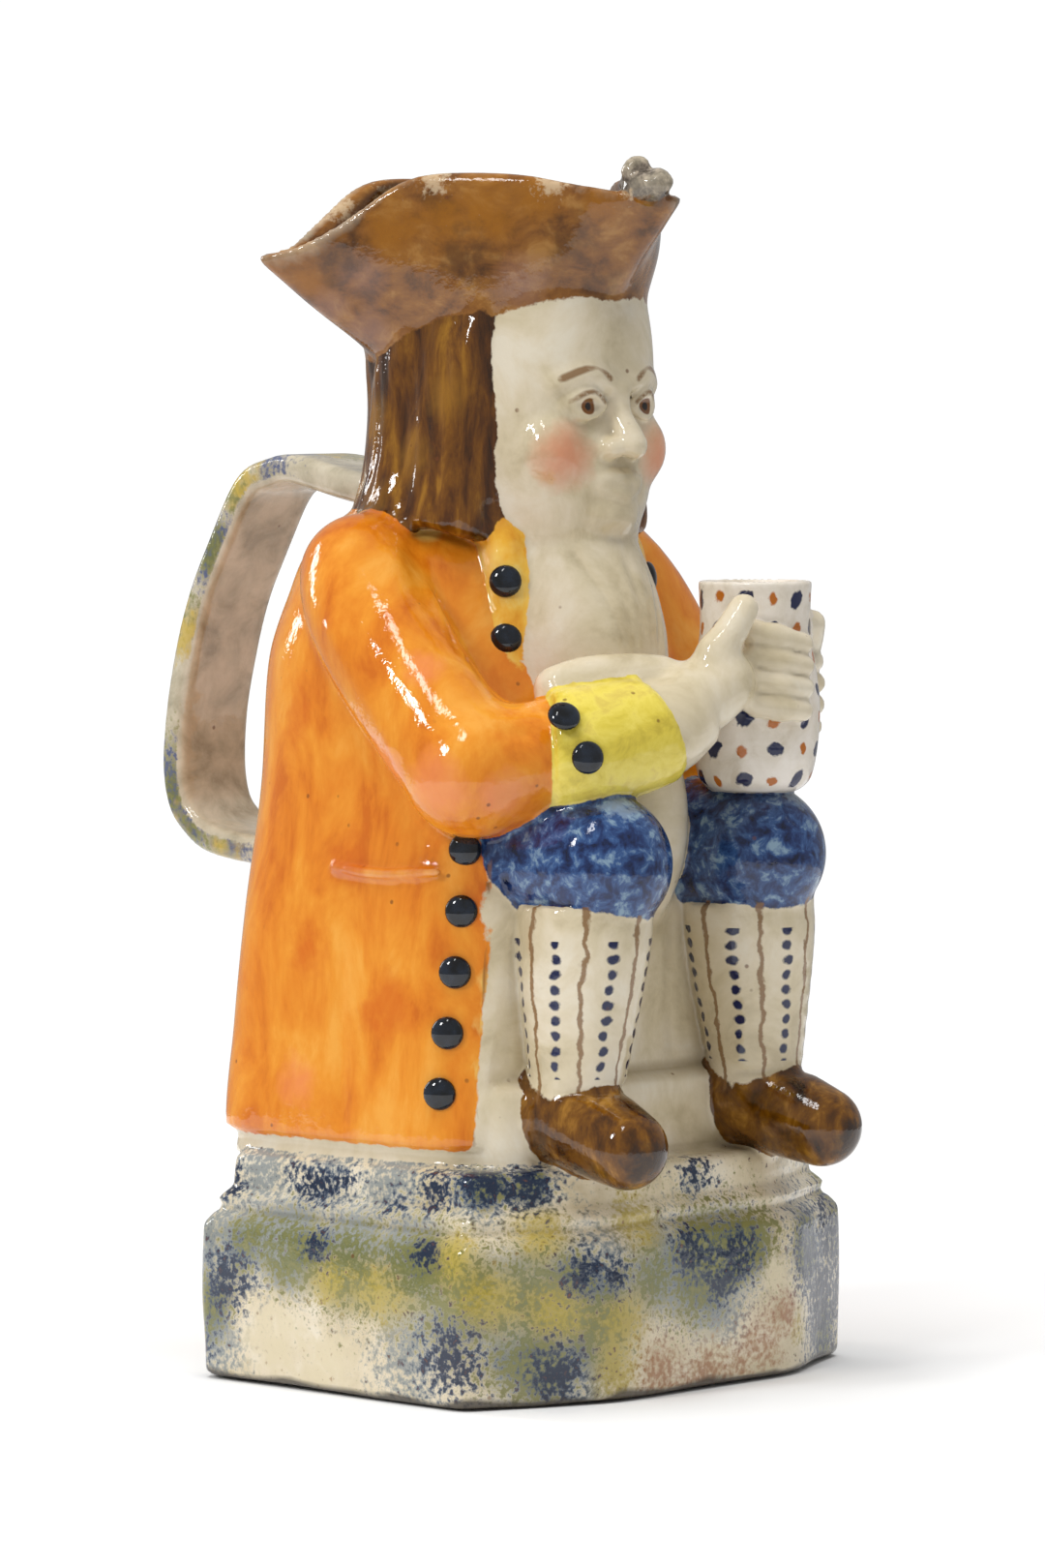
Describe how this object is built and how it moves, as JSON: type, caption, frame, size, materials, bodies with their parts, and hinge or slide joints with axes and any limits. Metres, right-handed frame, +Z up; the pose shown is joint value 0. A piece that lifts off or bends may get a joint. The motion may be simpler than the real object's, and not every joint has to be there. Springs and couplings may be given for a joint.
{
  "type": "toby jug",
  "caption": "Hollow glazed earthenware jug shaped as a seated man in a tricorn hat, who holds a small ale jug on his knee, with a strap handle at the back.",
  "frame": {"origin": "centre of the plinth's underside, on the surface it stands on", "axes": "+Z up; the figure faces -Y and the handle is at +Y; +X is the figure's left, where its ale jug stands"},
  "size_m": [0.1136, 0.1576, 0.2433],
  "materials": {
    "glazed_earthenware": "gloss"
  },
  "bodies": {
    "root": {"toby_jug": "glazed_earthenware"}
  },
  "joints": []
}
